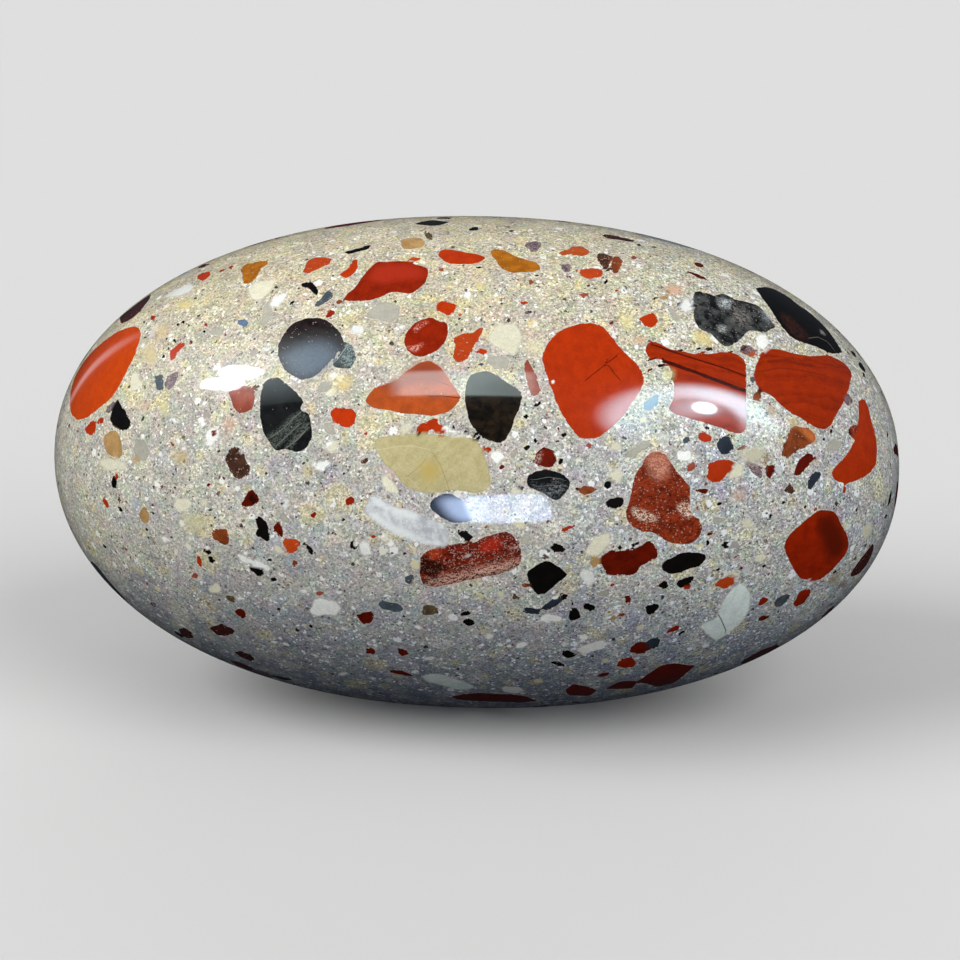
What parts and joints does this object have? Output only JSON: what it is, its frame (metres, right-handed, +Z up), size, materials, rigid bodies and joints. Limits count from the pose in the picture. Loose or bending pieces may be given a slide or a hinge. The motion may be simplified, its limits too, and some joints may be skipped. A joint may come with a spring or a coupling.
{
  "type": "polished jasper stone",
  "caption": "Polished jasper conglomerate stone, a long smooth ellipsoid that lies on its side on a small ground flat.",
  "frame": {"origin": "the middle of the stone's footprint, at the level of its resting flat", "axes": "+X along the stone's length, towards the right of the picture; +Y away from the viewer; +Z up"},
  "size_m": [0.1498, 0.0914, 0.0865],
  "materials": {
    "polished_conglomerate": "high polish, a little hazier on the sandy ground mass than on the red and dark pebbles in it"
  },
  "bodies": {
    "root": {"stone": "polished_conglomerate"}
  },
  "joints": []
}
